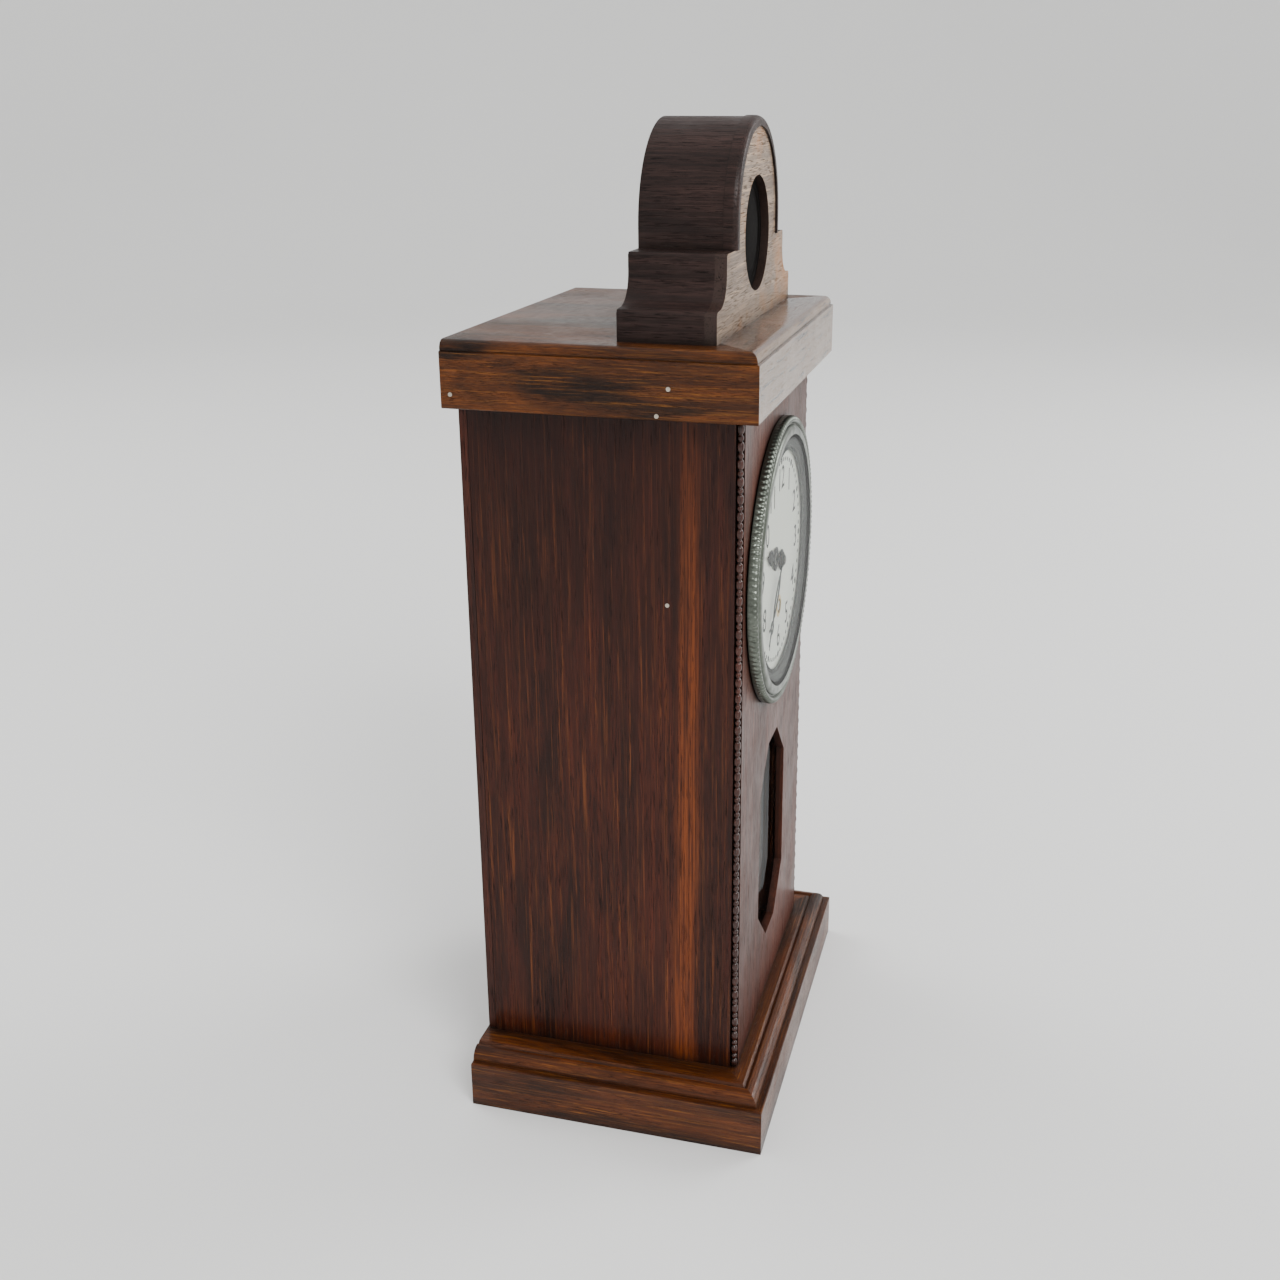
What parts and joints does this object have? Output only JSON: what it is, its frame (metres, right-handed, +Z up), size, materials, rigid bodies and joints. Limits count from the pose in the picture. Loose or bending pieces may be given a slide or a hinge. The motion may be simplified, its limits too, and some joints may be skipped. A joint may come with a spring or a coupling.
{
  "type": "mantel clock",
  "caption": "Small oak mantel clock with a moulded base and cap, round-topped pediment, curved-glass dial, canted pendulum window and working spring movement",
  "frame": {"origin": "bottom centre of the whole clock, on the surface it stands on", "axes": "+Z up, the dial faces -Y, +X is to the right of someone facing the dial"},
  "size_m": [0.157, 0.118, 0.371],
  "materials": {
    "oak_dark": "dark stained oak under a glossy shellac varnish",
    "pine_raw": "bare softwood, unvarnished",
    "ebonized": "black stained and polished",
    "steel_bright": "plain drawn steel",
    "pane": "clear old glass",
    "dial_white": "white enamelled dial, satin",
    "brass_plain": "lacquered yellow brass, slightly dulled",
    "pewter": "dulled nickel with a grey-green cast",
    "black_steel": "black lacquered steel"
  },
  "bodies": {
    "case": {"base_front": "oak_dark", "base_left": "oak_dark", "base_right": "oak_dark", "bottom_board": "oak_dark", "side_left": "oak_dark", "side_right": "oak_dark", "front_panel": "oak_dark", "pearl_strips": "oak_dark", "cap_front": "oak_dark", "cap_left": "oak_dark", "cap_right": "oak_dark", "top_board": "oak_dark", "back_rail": "oak_dark", "pediment_block": "oak_dark", "pediment_face": "oak_dark", "arch_bead": "oak_dark", "roundel": "ebonized", "pediment_dowels": "pine_raw", "glue_blocks": "pine_raw", "case_nails": "steel_bright", "window_glass": "pane", "window_stops": "oak_dark", "dial_plate": "dial_white", "winding_eyelet": "brass_plain", "front_plate": "brass_plain", "back_plate": "brass_plain", "pillars": "brass_plain", "screws": "steel_bright", "suspension_cock": "brass_plain", "click_spring": "brass_plain", "plate_studs": "steel_bright", "hinge_leaves": "brass_plain", "hinge_pins": "steel_bright"},
    "bezel_body": {"bezel": "pewter", "sight_ring": "pewter", "dial_glass": "pane"},
    "door_body": {"back_door": "oak_dark", "door_leaves": "brass_plain"},
    "latch_body": {"turn_button": "brass_plain"},
    "centre_body": {"centre_arbor": "steel_bright", "centre_wheel": "brass_plain", "cannon_pinion": "brass_plain", "minute_hand": "black_steel", "hand_nut": "brass_plain"},
    "hour_body": {"hour_wheel": "brass_plain", "hour_hand": "black_steel"},
    "minute_wheel_body": {"minute_wheel": "brass_plain"},
    "barrel_body": {"barrel": "brass_plain", "barrel_cover": "brass_plain", "mainspring": "steel_bright"},
    "winding_body": {"winding_arbor": "steel_bright", "ratchet_wheel": "steel_bright"},
    "click_body": {"click": "steel_bright"},
    "third_body": {"third_wheel": "brass_plain"},
    "escape_body": {"escape_wheel": "brass_plain"},
    "anchor_body": {"anchor": "steel_bright"},
    "pendulum_body": {"pendulum_rod": "brass_plain", "bob": "brass_plain"},
    "nut_body": {"rating_nut": "brass_plain"}
  },
  "joints": [
    {"name": "centre_spin", "type": "hinge", "parent": "case", "child": "centre_body", "pos_m": [0, -0.03, 0.2088], "axis": [0, 1, 0], "continuous": true},
    {"name": "hour_spin", "type": "hinge", "parent": "case", "child": "hour_body", "pos_m": [0, -0.045, 0.2088], "axis": [0, 1, 0], "continuous": true},
    {"name": "minute_wheel_spin", "type": "hinge", "parent": "case", "child": "minute_wheel_body", "pos_m": [0.006, -0.042, 0.2192], "axis": [0, 1, 0], "continuous": true},
    {"name": "barrel_spin", "type": "hinge", "parent": "case", "child": "barrel_body", "pos_m": [0, -0.03, 0.19], "axis": [0, 1, 0], "continuous": true},
    {"name": "third_spin", "type": "hinge", "parent": "case", "child": "third_body", "pos_m": [0.0124, -0.026, 0.2201], "axis": [0, 1, 0], "continuous": true},
    {"name": "escape_spin", "type": "hinge", "parent": "case", "child": "escape_body", "pos_m": [0, -0.026, 0.2286], "axis": [0, 1, 0], "continuous": true},
    {"name": "winding_turn", "type": "hinge", "parent": "case", "child": "winding_body", "pos_m": [0, -0.041, 0.19], "axis": [0, 1, 0], "continuous": true},
    {"name": "click_swing", "type": "hinge", "parent": "case", "child": "click_body", "pos_m": [0.0135, -0.0405, 0.185], "axis": [0, 1, 0], "range_deg": [0, 12], "stiffness_Nm_per_rad": 0.0002, "springref_deg": -5.73},
    {"name": "pendulum_swing", "type": "hinge", "parent": "case", "child": "pendulum_body", "pos_m": [0, -0.0065, 0.2446], "axis": [0, 1, 0], "range_deg": [-4, 4]},
    {"name": "anchor_swing", "type": "hinge", "parent": "case", "child": "anchor_body", "pos_m": [0, -0.02, 0.2446], "axis": [0, 1, 0], "range_deg": [-4, 4]},
    {"name": "rating_nut_turn", "type": "hinge", "parent": "pendulum_body", "child": "nut_body", "pos_m": [0, -0.0065, 0.0791], "axis": [0, 0, 1], "continuous": true},
    {"name": "bezel_swing", "type": "hinge", "parent": "case", "child": "bezel_body", "pos_m": [0.0567, -0.047, 0.2088], "axis": [0, 0, 1], "range_deg": [0, 100]},
    {"name": "door_swing", "type": "hinge", "parent": "case", "child": "door_body", "pos_m": [0.0619, 0.0567, 0.15], "axis": [0, 0, -1], "range_deg": [0, 110]},
    {"name": "latch_turn", "type": "hinge", "parent": "case", "child": "latch_body", "pos_m": [0, 0.0574, 0.2818], "axis": [0, 1, 0], "range_deg": [-90, 0]}
  ],
  "couplings": [
    {"joint": "hour_spin", "follows": "centre_spin", "ratio": 0.083333},
    {"joint": "minute_wheel_spin", "follows": "centre_spin", "ratio": -0.33333},
    {"joint": "barrel_spin", "follows": "centre_spin", "ratio": -0.13333},
    {"joint": "third_spin", "follows": "centre_spin", "ratio": -12},
    {"joint": "escape_spin", "follows": "centre_spin", "ratio": 130.29},
    {"joint": "anchor_swing", "follows": "pendulum_swing", "ratio": 1}
  ]
}
